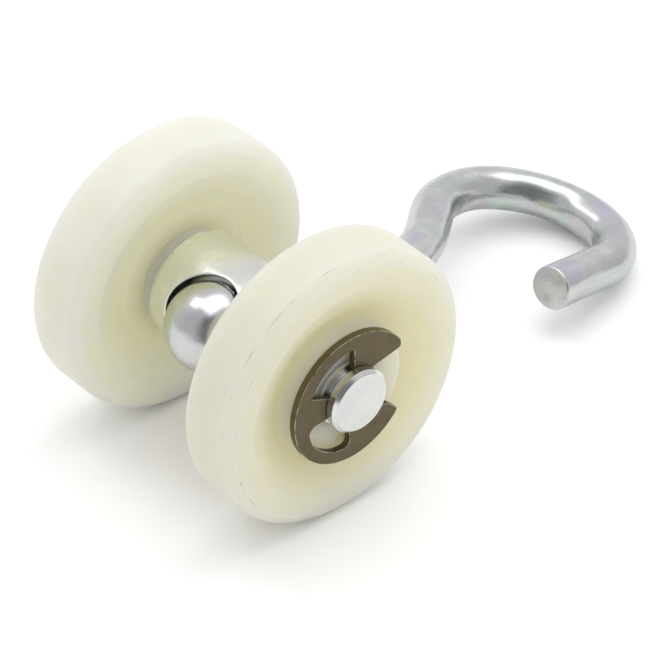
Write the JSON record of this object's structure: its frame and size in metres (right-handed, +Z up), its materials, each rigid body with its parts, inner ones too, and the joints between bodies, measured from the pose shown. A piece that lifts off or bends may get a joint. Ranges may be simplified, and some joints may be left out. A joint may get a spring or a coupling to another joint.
{
  "type": "trolley hook",
  "caption": "Overhead-rail trolley hook: nylon rollers on a turned spindle held by retaining clips, with a ball-headed swivel hook through the barrel.",
  "frame": {"origin": "on the bench under the middle of the object's box, with the trolley lying on its wheels and its hook", "axes": "+X along the axle, +Y from the axle towards the hook, +Z up from the bench"},
  "size_m": [0.0748, 0.1424, 0.065],
  "materials": {
    "nylon": "natural translucent nylon, satin",
    "zinc_spindle": "bright zinc plate on turned steel",
    "zinc_hook": "bright zinc plate on bent steel bar",
    "clip_steel": "spring steel, olive-brown phosphate"
  },
  "bodies": {
    "spindle": {"hub_spindle": "zinc_spindle", "retaining_clip_right": "clip_steel", "retaining_clip_left": "clip_steel"},
    "wheel_right": {"wheel_right": "nylon"},
    "wheel_left": {"wheel_left": "nylon"},
    "hook": {"swivel_hook": "zinc_hook"}
  },
  "joints": [
    {"name": "wheel_right_spin", "type": "hinge", "parent": "spindle", "child": "wheel_right", "pos_m": [0, -0.03868, 0.0325], "axis": [1, 0, 0], "continuous": true},
    {"name": "wheel_left_spin", "type": "hinge", "parent": "spindle", "child": "wheel_left", "pos_m": [0, -0.03868, 0.0325], "axis": [1, 0, 0], "continuous": true},
    {"name": "hook_swivel", "type": "hinge", "parent": "spindle", "child": "hook", "pos_m": [0, -0.03868, 0.0325], "axis": [0, 0.9673, -0.2538], "continuous": true}
  ]
}
